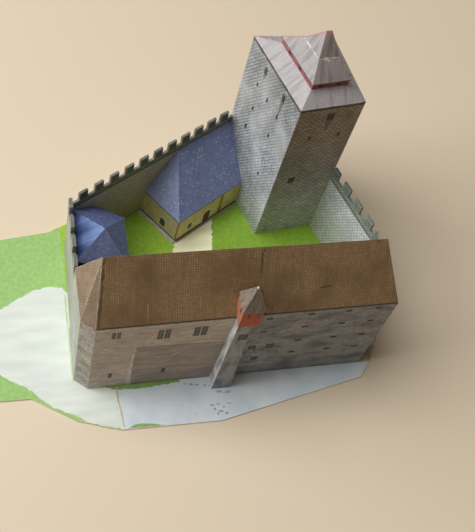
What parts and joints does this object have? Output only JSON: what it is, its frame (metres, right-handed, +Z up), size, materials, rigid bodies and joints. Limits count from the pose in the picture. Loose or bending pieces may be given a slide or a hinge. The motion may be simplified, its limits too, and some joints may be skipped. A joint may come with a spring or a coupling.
{
  "type": "card model castle",
  "caption": "Small folded card castle: a tall keep with a stepped roof, a long hall, a turret, a house, a gatehouse and notched walls round a courtyard on a ground card.",
  "frame": {"origin": "foot of the keep's front corner, on the underside of the ground card", "axes": "+X along the hall towards its east end, +Y from the hall to the keep, +Z up"},
  "size_m": [0.229, 0.1683, 0.1728],
  "materials": {
    "painted_ground_card": "matt printed card, green with a cream path",
    "pale_ground_card": "matt printed card, pale blue-white",
    "keep_stone_card": "matt printed card, blocks of stone",
    "keep_roof_card": "matt printed card, lilac-grey shingles",
    "red_band_card": "matt printed card, dark red with small windows",
    "curtain_wall_card": "matt printed card, grey stone",
    "hall_wall_card": "matt printed card, stone with windows",
    "hall_roof_card": "matt printed card, small brown tiles",
    "turret_card": "matt printed card, orange-red",
    "turret_roof_card": "matt printed card, grey-beige and brown",
    "house_wall_card": "matt printed card, ochre",
    "slate_roof_card": "matt printed card, dark blue slates and a striped blue side",
    "gatehouse_wall_card": "matt printed card, grey stone"
  },
  "bodies": {
    "root": {"ground_card": "painted_ground_card", "ground_card_front": "pale_ground_card", "keep_front_wall": "keep_stone_card", "keep_east_wall": "keep_stone_card", "keep_north_wall": "keep_stone_card", "keep_west_wall": "keep_stone_card", "keep_lower_roof": "keep_roof_card", "keep_window_band": "red_band_card", "keep_upper_roof": "keep_roof_card", "north_curtain_wall": "curtain_wall_card", "west_curtain_wall": "curtain_wall_card", "east_curtain_wall": "curtain_wall_card", "north_parapet": "curtain_wall_card", "west_parapet": "curtain_wall_card", "east_parapet": "curtain_wall_card", "hall_front_wall_left": "hall_wall_card", "hall_front_wall_right": "hall_wall_card", "hall_corner_wall": "hall_wall_card", "hall_west_wall": "hall_wall_card", "hall_back_wall": "hall_wall_card", "hall_east_wall": "hall_wall_card", "hall_roof_front": "hall_roof_card", "hall_roof_back": "hall_roof_card", "hall_roof_west_hip": "hall_roof_card", "hall_roof_corner_hip": "hall_roof_card", "hall_roof_east_hip": "hall_roof_card", "turret_shaft": "hall_wall_card", "turret_box": "turret_card", "turret_roof": "turret_roof_card", "house_front_wall": "house_wall_card", "house_side_wall": "house_wall_card", "house_roof_main": "slate_roof_card", "house_roof_hip": "slate_roof_card", "house_kerb": "curtain_wall_card", "gatehouse_north_wall": "gatehouse_wall_card", "gatehouse_east_wall": "gatehouse_wall_card", "gatehouse_south_wall": "gatehouse_wall_card", "gatehouse_roof_west": "slate_roof_card", "gatehouse_roof_north": "slate_roof_card", "gatehouse_roof_east": "slate_roof_card", "gatehouse_roof_south": "slate_roof_card"}
  },
  "joints": []
}
